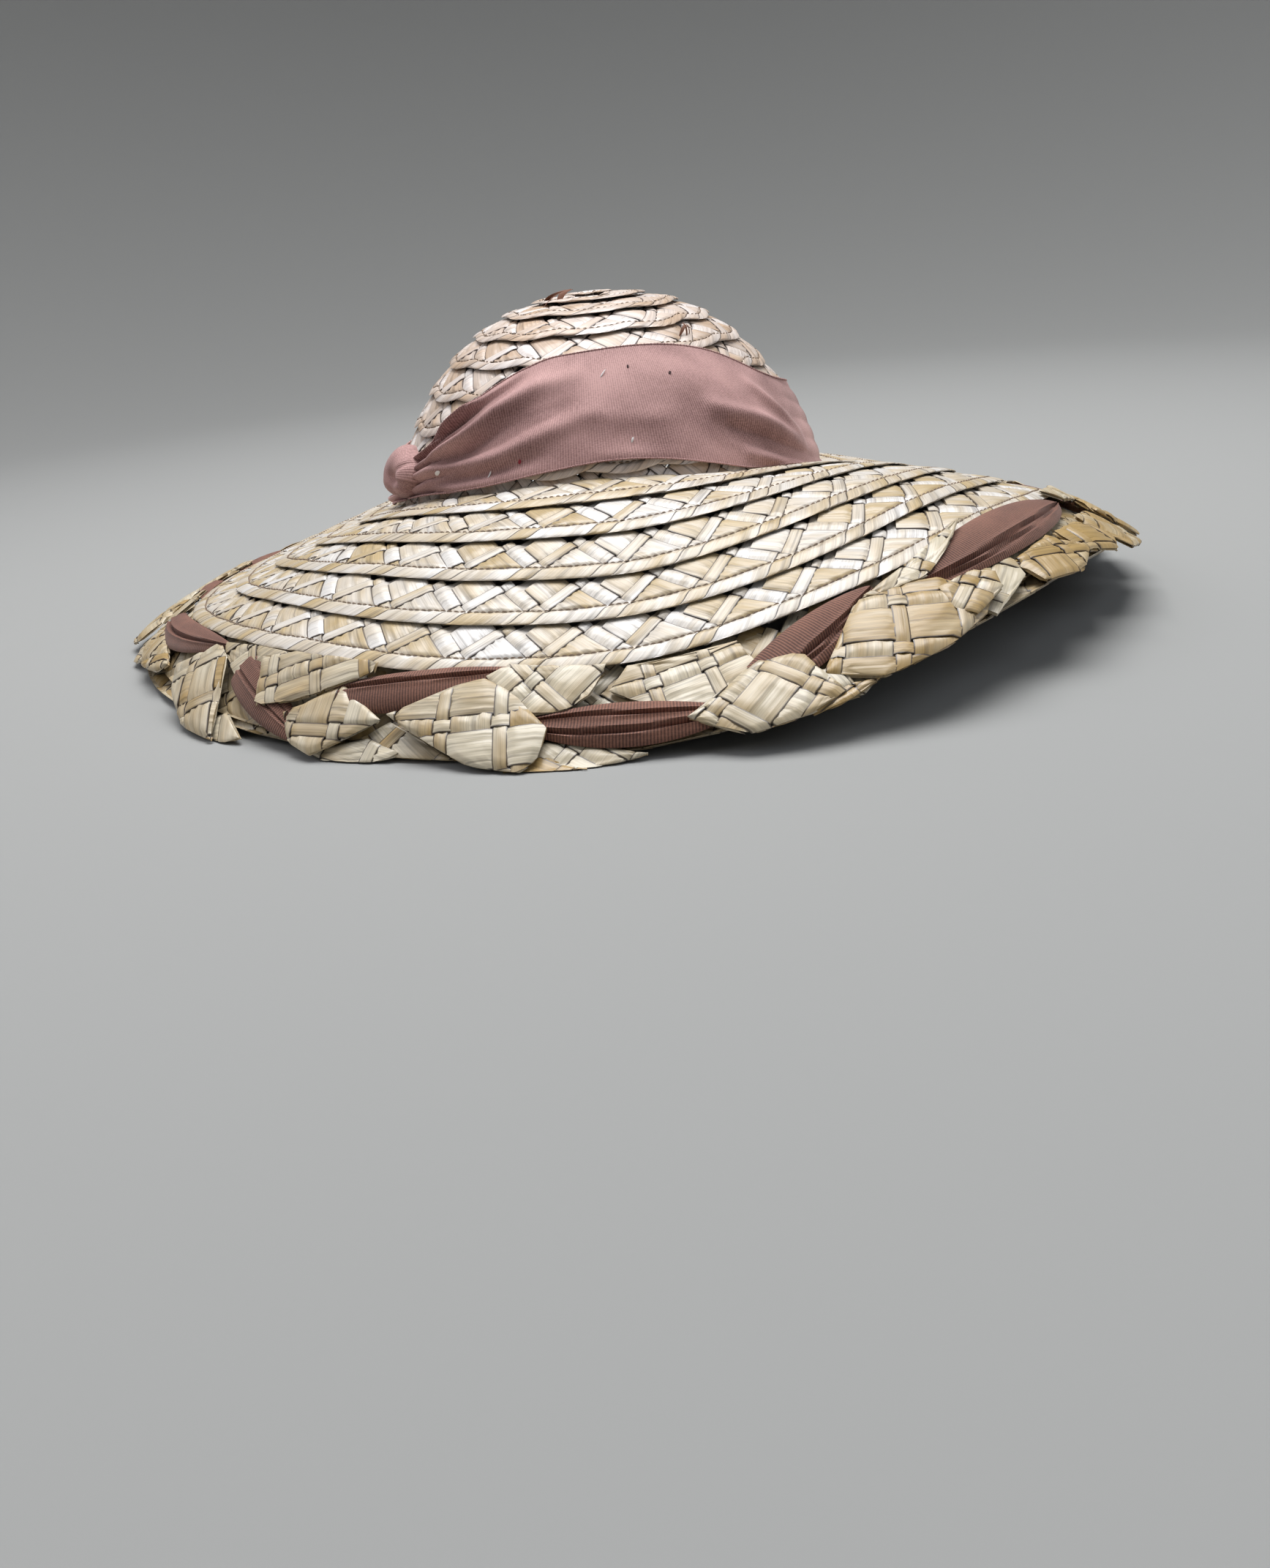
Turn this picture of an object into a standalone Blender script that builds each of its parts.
"""Straw hat of sewn plait: a round crown, a wide drooping brim, a ribbon band and a twisted border.

The hat stands on its border as it would on a table. X is its width, -Y its front and Z up, in metres.
Azimuths run counterclockwise from +X, in degrees, so the front is at 270.
"""
import math
from collections import namedtuple

import bmesh
import bpy
import numpy as np

# Crown: a superellipse turned round an oval, its base standing over the table
CROWN_BASE = 0.043
CROWN_HALF_WIDTH = 0.0845
CROWN_HALF_LENGTH = 0.095
CROWN_HEIGHT = 0.074
CROWN_FULLNESS = 1.46
CROWN_ROUNDING = 2.44
CROWN_WALL = 0.0022
CROWN_FIRST_EDGE = 0.009
CROWN_ROW_PITCH = 0.014
CROWN_ROWS = 7
CROWN_ROW_STEP = 0.0010
CROWN_TIP_RADIUS = 0.0008

# Brim: rows of plait, each with a rolled outer edge that lies on the next row
BRIM_ROW_PITCH = 0.0178
BRIM_ROWS = 5
BRIM_WALL = 0.0022
BRIM_WIDTH = BRIM_ROWS * BRIM_ROW_PITCH
ROW_RISE = 0.0011
ROLL_HEIGHT = 0.0019
ROLL_WIDTH = 0.0032
LIP_HEIGHT = 0.0035
LIP_WALL = 0.0014

# Border: a flattened rope of folded plait below the last row, with a ribbon wound in its groove
BORDER_TURNS = 20
BORDER_STEPS_A_TURN = 9
BORDER_FIRST_POD = 270.0
BORDER_WIDTH = 0.034
BORDER_THICKNESS = 0.013
BORDER_SINK = 0.001
BORDER_SCALLOP = 0.26
BORDER_STEEPEST_SINE = 0.95

# Ribbon band and its knot
BAND_THICKNESS = 0.0010
BAND_FOLD_HEIGHT = 0.0016
KNOT_AZIMUTH = 212.0
KNOT_HEIGHT = 0.0240
KNOT_HALF_WIDTH = 0.0095
KNOT_HALF_HEIGHT = 0.0095
KNOT_DEPTH = 0.0075
KNOT_SEAT_SHARE = 0.5
KNOT_TOP_SHARE = 0.12

# Clearance between touching pieces, and how finely round shapes are divided
GAP = 0.0003
FACET_ALLOWANCE = 0.0002
SECTIONS_ROUND = 54
BAND_STEPS = 4
INNER_STEPS = 6
KNOT_RINGS = 3
KNOT_SIDES = 14
SLOPE_STEPS = 90
ARC_STEPS = 2000
WELD_DISTANCE = 1e-6
SHORTEST_EDGE = 1e-7
MM = 0.001

# How the brim runs at eight places: heights over the table in mm, slopes down in degrees
Section = namedtuple("Section", "azimuth joint_height inner_slope middle_slope outer_slope rim_height")
SECTIONS = (
    Section(0, 43, 6, 12, 20, 3),
    Section(45, 44, 16, 19, 22, 0),
    Section(90, 46, 15, 20, 24, 0),
    Section(135, 45, 16, 20, 24, 0),
    Section(180, 44, 16, 18, 20, 0),
    Section(225, 56, 9, 21, 29, 0),
    Section(270, 61, 10, 32, 34, 0),
    Section(315, 54, -9, 9, 21, 27),
)
SLOPE_STATIONS = (0.0, 0.040, BRIM_WIDTH)

# Where the band's upper edge runs, over the crown's base in mm, and how strongly it is folded there
BandPlace = namedtuple("BandPlace", "azimuth top_height folds")
BAND_PLACES = (
    BandPlace(0, 33, 0.0),
    BandPlace(45, 29, 0.0),
    BandPlace(90, 27, 0.0),
    BandPlace(135, 25, 0.0),
    BandPlace(180, 19, 0.3),
    BandPlace(210, 21, 1.0),
    BandPlace(235, 50, 1.0),
    BandPlace(258, 59, 0.6),
    BandPlace(290, 60, 0.0),
    BandPlace(312, 55, 0.2),
    BandPlace(335, 40, 0.2),
)
# Folds across the band, as shares of its height
FOLD_ROWS = (0.25, 0.75)

# Outlines across the border: angles from the groove's middle in degrees, reaches as shares of the half
# size, and least heights over the table, which keep the ribbon's thickness where the border lies flat
RopePoint = namedtuple("RopePoint", "angle reach foot")
GROOVED_ROPE = (
    RopePoint(-34, 0.70, 0.0016),
    RopePoint(34, 0.70, 0.0016),
    RopePoint(50, 0.97, 0.0),
    RopePoint(87, 1.0, 0.0),
    RopePoint(124, 1.0, 0.0),
    RopePoint(161, 1.0, 0.0),
    RopePoint(199, 1.0, 0.0),
    RopePoint(236, 1.0, 0.0),
    RopePoint(273, 1.0, 0.0),
    RopePoint(310, 0.97, 0.0),
)
WOUND_RIBBON = (
    RopePoint(-31, 0.76, 0.0012),
    RopePoint(31, 0.76, 0.0012),
    RopePoint(36, 0.92, 0.0),
    RopePoint(0, 1.03, 0.0),
    RopePoint(-36, 0.92, 0.0),
)

# The border's middle lies this far below the last row, so that its ribbon clears the brim
BORDER_CENTRE = GAP + max(corner.reach for corner in WOUND_RIBBON) * BORDER_WIDTH / 2.0

Finish = namedtuple("Finish", "name color roughness")
STRAW = Finish("straw plait", (0.62, 0.50, 0.34), 0.42)
CROWN_STRAW = Finish("crown straw plait", (0.66, 0.51, 0.38), 0.42)
BORDER_STRAW = Finish("border straw plait", (0.58, 0.46, 0.30), 0.42)
BAND_RIBBON = Finish("mauve ribbon", (0.24, 0.12, 0.10), 0.75)
KNOT_RIBBON = Finish("mauve ribbon of the knot", (0.24, 0.12, 0.11), 0.75)
BORDER_RIBBON = Finish("brown ribbon", (0.14, 0.06, 0.045), 0.8)


def clear_scene():
    """Remove every object that the scene starts with."""
    for item in list(bpy.data.objects):
        bpy.data.objects.remove(item, do_unlink=True)


def round_curve(azimuths, values, places):
    """Smooth closed curve through values at azimuths, read at places, all in degrees."""
    knots = np.asarray(azimuths, float)
    level = np.asarray(values, float)
    after = np.append(knots[1:], knots[0] + 360.0)
    before = np.insert(knots[:-1], 0, knots[-1] - 360.0)
    tangent = (np.roll(level, -1) - np.roll(level, 1)) / (after - before)
    wrapped = np.mod(np.asarray(places, float) - knots[0], 360.0) + knots[0]
    index = np.searchsorted(knots, wrapped, side="right") - 1
    follow = (index + 1) % len(knots)
    length = (after - knots)[index]
    t = (wrapped - knots[index]) / length
    return (
        level[index] * (2 * t**3 - 3 * t**2 + 1)
        + level[follow] * (3 * t**2 - 2 * t**3)
        + tangent[index] * length * (t**3 - 2 * t**2 + t)
        + tangent[follow] * length * (t**3 - t**2)
    )


def section_value(column, places):
    """One column of the section table, read at places round the hat."""
    values = [getattr(row, column) for row in SECTIONS]
    return round_curve([row.azimuth for row in SECTIONS], values, places)


def joint_height(places):
    """Height of the line where crown and brim meet, over the crown's base."""
    return section_value("joint_height", places) * MM - CROWN_BASE


def oval_normal(angle):
    """Outward horizontal direction of the head oval."""
    across = np.stack([np.cos(angle) / CROWN_HALF_WIDTH, np.sin(angle) / CROWN_HALF_LENGTH], -1)
    return across / np.linalg.norm(across, axis=-1, keepdims=True)


def crown_share(height):
    """Share of the base oval that the crown keeps at a height over its base."""
    rise = np.clip(height / CROWN_HEIGHT, 0.0, 1.0)
    return (1.0 - rise**CROWN_FULLNESS) ** (1.0 / CROWN_ROUNDING)


def crown_slope(height):
    """How fast the crown's mean radius shrinks with height."""
    step = CROWN_HEIGHT * 0.001
    mean_radius = (CROWN_HALF_WIDTH + CROWN_HALF_LENGTH) / 2.0
    low = np.clip(height - step, 0.0, CROWN_HEIGHT - 2.0 * step)
    return mean_radius * (crown_share(low) - crown_share(low + 2.0 * step)) / (2.0 * step)


def crown_point(places, height, offset):
    """Point on the crown at azimuths and heights over its base, moved out along its normal."""
    places, height, offset = np.broadcast_arrays(places, height, offset)
    angle = np.radians(places)
    share = crown_share(height)
    outward = oval_normal(angle)
    slope = crown_slope(height)
    lean = 1.0 / np.sqrt(1.0 + slope**2)
    x = CROWN_HALF_WIDTH * share * np.cos(angle) + outward[..., 0] * offset * lean
    y = CROWN_HALF_LENGTH * share * np.sin(angle) + outward[..., 1] * offset * lean
    z = CROWN_BASE + height + offset * lean * slope
    return np.stack([x, y, z], -1)


def crown_arc():
    """Lengths along the crown's section from its tip, with the heights that they reach."""
    height = np.linspace(CROWN_HEIGHT, 0.0, ARC_STEPS)
    radius = crown_share(height) * (CROWN_HALF_WIDTH + CROWN_HALF_LENGTH) / 2.0
    step = np.hypot(np.diff(radius), np.diff(height))
    return np.concatenate([[0.0], np.cumsum(step)]), height


def border_slope(places, edge_height):
    """Slope of the border, so that its lower edge reaches the rim height of the section table."""
    rim = section_value("rim_height", places) * MM
    sine = (edge_height - rim) / (BORDER_CENTRE + BORDER_WIDTH / 2.0)
    return np.arcsin(np.clip(sine, -BORDER_STEEPEST_SINE, BORDER_STEEPEST_SINE))


def brim_frame(places, width):
    """Point, outward normal and downhill direction on the brim at azimuths and widths from the joint."""
    places, width = np.broadcast_arrays(np.asarray(places, float), np.asarray(width, float))
    names = ("inner_slope", "middle_slope", "outer_slope")
    columns = [np.radians(section_value(name, places)) for name in names]
    run = np.zeros(places.shape)
    drop = np.zeros(places.shape)
    on_brim = np.clip(width, 0.0, BRIM_WIDTH)
    full_run = np.zeros(places.shape)
    full_drop = np.zeros(places.shape)
    for step in range(SLOPE_STEPS):
        middle = (step + 0.5) * BRIM_WIDTH / SLOPE_STEPS
        slope = brim_slope(columns, middle)
        length = np.clip(on_brim - step * BRIM_WIDTH / SLOPE_STEPS, 0.0, BRIM_WIDTH / SLOPE_STEPS)
        run += np.cos(slope) * length
        drop += np.sin(slope) * length
        full_run += np.cos(slope) * BRIM_WIDTH / SLOPE_STEPS
        full_drop += np.sin(slope) * BRIM_WIDTH / SLOPE_STEPS
    start = crown_point(places, joint_height(places), GAP)
    hanging = border_slope(places, start[..., 2] - full_drop)
    beyond = np.clip(width - BRIM_WIDTH, 0.0, None)
    run += np.cos(hanging) * beyond
    drop += np.sin(hanging) * beyond
    slope = np.where(width > BRIM_WIDTH, hanging, brim_slope(columns, on_brim))
    outward = oval_normal(np.radians(places))
    east, north = outward[..., 0], outward[..., 1]
    point = start + np.stack([east * run, north * run, -drop], -1)
    normal = np.stack([east * np.sin(slope), north * np.sin(slope), np.cos(slope)], -1)
    downhill = np.stack([east * np.cos(slope), north * np.cos(slope), -np.sin(slope)], -1)
    return point, normal, downhill


def brim_slope(columns, width):
    """Slope at a width, straight between the three stations of the section table."""
    inner, middle, outer = columns
    share = np.clip((width - SLOPE_STATIONS[0]) / (SLOPE_STATIONS[1] - SLOPE_STATIONS[0]), 0.0, 1.0)
    later = np.clip((width - SLOPE_STATIONS[1]) / (SLOPE_STATIONS[2] - SLOPE_STATIONS[1]), 0.0, 1.0)
    return inner + (middle - inner) * share + (outer - middle) * later


def ring_azimuths():
    """Azimuths of the sections that crown, brim and band share."""
    return np.arange(SECTIONS_ROUND) * 360.0 / SECTIONS_ROUND


def ring_faces(count, side):
    """Triangles of a closed loft of closed sections, each four-cornered cell cut the same way."""
    faces = []
    for i in range(count):
        near = i * side
        far = (i + 1) % count * side
        for j in range(side):
            k = (j + 1) % side
            faces.append((near + j, far + j, far + k))
            faces.append((near + j, far + k, near + k))
    return faces


def add_mesh(name, vertices, faces, finish, collection):
    """Make a closed mesh object with outward faces and its own material."""
    mesh = bpy.data.meshes.new(name)
    mesh.from_pydata([tuple(point) for point in vertices], [], faces)
    shape = bmesh.new()
    shape.from_mesh(mesh)
    bmesh.ops.remove_doubles(shape, verts=shape.verts, dist=WELD_DISTANCE)
    bmesh.ops.dissolve_degenerate(shape, edges=shape.edges, dist=SHORTEST_EDGE)
    bmesh.ops.recalc_face_normals(shape, faces=shape.faces)
    shape.to_mesh(mesh)
    shape.free()
    item = bpy.data.objects.new(name, mesh)
    collection.objects.link(item)
    material = bpy.data.materials.new(finish.name)
    material.use_nodes = True
    shader = material.node_tree.nodes["Principled BSDF"]
    shader.inputs["Base Color"].default_value = (*finish.color, 1.0)
    shader.inputs["Roughness"].default_value = finish.roughness
    shader.inputs["Metallic"].default_value = 0.0
    mesh.materials.append(material)
    return item


def short_faces(sections):
    """Triangles of a closed loft, each four-cornered cell cut along its shorter diagonal."""
    count, side = sections.shape[:2]
    faces = []
    for i in range(count):
        far_row = (i + 1) % count
        for j in range(side):
            k = (j + 1) % side
            near, next_near = i * side + j, i * side + k
            far, next_far = far_row * side + j, far_row * side + k
            ahead = np.linalg.norm(sections[i, j] - sections[far_row, k])
            across = np.linalg.norm(sections[far_row, j] - sections[i, k])
            if ahead <= across:
                faces += [(near, far, next_far), (near, next_far, next_near)]
            else:
                faces += [(near, far, next_near), (far, next_far, next_near)]
    return faces


def add_loft(name, sections, finish, collection, twisted=False):
    """Loft closed sections, an array of section by point by axis, into a closed ring."""
    count, side = sections.shape[:2]
    faces = short_faces(sections) if twisted else ring_faces(count, side)
    return add_mesh(name, sections.reshape(-1, 3), faces, finish, collection)


def make_crown(collection):
    """Hollow crown: rows of plait stepped like shingles from the tip down, with a smooth inside."""
    places = ring_azimuths()
    arc, arc_height = crown_arc()
    floor = joint_height(places) - CROWN_WALL
    rings = [crown_point(places, np.full(places.shape, np.interp(CROWN_TIP_RADIUS, arc, arc_height)), 0.0)]
    for row in range(CROWN_ROWS):
        edge = CROWN_FIRST_EDGE + row * CROWN_ROW_PITCH
        for length, offset in ((edge - ROW_RISE, CROWN_ROW_STEP), (edge, 0.0)):
            rings.append(crown_point(places, np.interp(length, arc, arc_height), offset))
    rings.append(crown_point(places, floor, 0.0))
    rings.append(crown_point(places, floor, -CROWN_WALL))
    last_edge = np.interp(CROWN_FIRST_EDGE + (CROWN_ROWS - 1) * CROWN_ROW_PITCH, arc, arc_height)
    inner_arc = np.linspace(np.interp(-last_edge, -arc_height, arc), CROWN_TIP_RADIUS, INNER_STEPS)
    for length in inner_arc:
        rings.append(crown_point(places, np.interp(length, arc, arc_height), -CROWN_WALL))
    grid = np.stack(rings)
    faces = []
    for ring in range(len(rings) - 1):
        for i in range(SECTIONS_ROUND):
            k = (i + 1) % SECTIONS_ROUND
            low = ring * SECTIONS_ROUND
            high = low + SECTIONS_ROUND
            faces.append((low + i, low + k, high + k))
            faces.append((low + i, high + k, high + i))
    faces.append(tuple(range(SECTIONS_ROUND)))
    faces.append(tuple((len(rings) - 1) * SECTIONS_ROUND + i for i in range(SECTIONS_ROUND)))
    return add_mesh("crown", grid.reshape(-1, 3), faces, CROWN_STRAW, collection)


def make_brim(collection):
    """Brim: an upright lip against the crown, then rows with rolled edges, on a plain underside."""
    places = ring_azimuths()
    joint = joint_height(places)
    points = [
        crown_point(places, joint + LIP_HEIGHT, GAP),
        crown_point(places, joint + LIP_HEIGHT, GAP + LIP_WALL),
    ]
    outline = [(2.0 * LIP_WALL, 0.0)]
    for row in range(1, BRIM_ROWS + 1):
        edge = row * BRIM_ROW_PITCH
        outline.append((edge - ROLL_WIDTH, ROW_RISE))
        outline.append((edge - ROLL_WIDTH / 4.0, ROLL_HEIGHT))
        outline.append((edge, 0.0))
    for row in range(BRIM_ROWS, 0, -1):
        outline.append((row * BRIM_ROW_PITCH, -BRIM_WALL))
    for width, offset in outline:
        point, normal, _ = brim_frame(places, width)
        points.append(point + normal * offset)
    points.append(crown_point(places, joint - BRIM_WALL, GAP))
    return add_loft("brim", np.stack(points, 1), STRAW, collection)


def make_band(collection):
    """Ribbon band: a wall round the crown whose upper edge climbs at the front, with long folds."""
    places = ring_azimuths()
    azimuths = [row.azimuth for row in BAND_PLACES]
    top = round_curve(azimuths, [row.top_height for row in BAND_PLACES], places) * MM
    folds = np.clip(round_curve(azimuths, [row.folds for row in BAND_PLACES], places), 0.0, 1.0)
    bottom = joint_height(places) + LIP_HEIGHT + GAP
    clear = CROWN_ROW_STEP + GAP + FACET_ALLOWANCE
    inner = []
    outer = []
    for step in range(BAND_STEPS + 1):
        share = step / BAND_STEPS
        height = bottom + (top - bottom) * share
        lift = BAND_FOLD_HEIGHT * folds * (1.0 if share in FOLD_ROWS else 0.0)
        inner.append(crown_point(places, height, clear + lift))
        outer.append(crown_point(places, height, clear + lift + BAND_THICKNESS))
    return add_loft("ribbon_band", np.stack(inner + outer[::-1], 1), BAND_RIBBON, collection)


def make_knot(collection):
    """Gathered puff of ribbon on the band's left, a lens laid on the band with a rounded top."""
    mean_radius = (CROWN_HALF_WIDTH + CROWN_HALF_LENGTH) / 2.0
    seat = CROWN_ROW_STEP + BAND_THICKNESS + BAND_FOLD_HEIGHT + 2.0 * GAP + FACET_ALLOWANCE
    turn = np.arange(KNOT_SIDES) * 2.0 * math.pi / KNOT_SIDES

    def ring(share, offset):
        """Oval ring of the puff at a share of its size."""
        azimuth = KNOT_AZIMUTH + np.degrees(np.cos(turn) * share * KNOT_HALF_WIDTH / mean_radius)
        height = KNOT_HEIGHT + np.sin(turn) * share * KNOT_HALF_HEIGHT
        return crown_point(azimuth, height, offset)

    rings = [ring(KNOT_SEAT_SHARE, seat)]
    for step in range(KNOT_RINGS + 1):
        lean = step / KNOT_RINGS * math.pi / 2.0
        rings.append(ring(max(math.cos(lean), KNOT_TOP_SHARE), seat + GAP + KNOT_DEPTH * math.sin(lean)))
    grid = np.concatenate(rings)
    faces = []
    for low in range(len(rings) - 1):
        for i in range(KNOT_SIDES):
            k = (i + 1) % KNOT_SIDES
            near = low * KNOT_SIDES
            far = near + KNOT_SIDES
            faces.append((near + i, near + k, far + k, far + i))
    faces.append(tuple(range(KNOT_SIDES)))
    faces.append(tuple((len(rings) - 1) * KNOT_SIDES + i for i in range(KNOT_SIDES)))
    return add_mesh("ribbon_knot", grid, faces, KNOT_RIBBON, collection)


def rope_sections(outline):
    """Carry a turning outline along the border, scalloped below and flat where it meets the table."""
    count = BORDER_TURNS * BORDER_STEPS_A_TURN
    places = BORDER_FIRST_POD + np.arange(count) * 360.0 / count
    turn = np.radians((BORDER_FIRST_POD - places) * BORDER_TURNS)
    drawn_up = BORDER_SCALLOP * BORDER_WIDTH / 2.0 * (1.0 + np.cos(turn)) / 2.0
    centre, normal, downhill = brim_frame(places, BRIM_WIDTH + BORDER_CENTRE)
    points = []
    for corner in outline:
        angle = turn + math.radians(corner.angle)
        down = np.sin(angle) * corner.reach
        down = down * BORDER_WIDTH / 2.0 - drawn_up * np.maximum(down, 0.0) ** 2
        out = np.cos(angle) * corner.reach * BORDER_THICKNESS / 2.0 - BORDER_SINK
        point = centre + downhill * down[:, None] + normal * out[:, None]
        point[:, 2] = np.maximum(point[:, 2], corner.foot)
        points.append(point)
    return np.stack(points, 1)


def make_border_straw(collection):
    """Straw of the border: a flattened rope with a winding groove, which makes its lobes."""
    return add_loft("border_straw", rope_sections(GROOVED_ROPE), BORDER_STRAW, collection, twisted=True)


def make_border_ribbon(collection):
    """Ribbon wound round the border, in the groove of the straw."""
    return add_loft("border_ribbon", rope_sections(WOUND_RIBBON), BORDER_RIBBON, collection, twisted=True)


def centre_over_origin(items):
    """Hang the pieces on one empty that puts the middle of their box over the origin."""
    corners = np.array([vertex.co for item in items for vertex in item.data.vertices])
    middle = (corners.min(0) + corners.max(0)) / 2.0
    anchor = bpy.data.objects.new("hat_anchor", None)
    anchor.location = (-middle[0], -middle[1], -corners[:, 2].min())
    items[0].users_collection[0].objects.link(anchor)
    for item in items:
        item.parent = anchor


def main():
    """Build the hat."""
    clear_scene()
    collection = bpy.data.collections.new("straw_hat")
    bpy.context.scene.collection.children.link(collection)
    makers = (make_crown, make_brim, make_band, make_knot, make_border_straw, make_border_ribbon)
    items = [maker(collection) for maker in makers]
    centre_over_origin(items)
    bpy.context.view_layer.update()
    for item in items:
        print(item.name, len(item.data.vertices), "vertices", len(item.data.polygons), "faces")


main()
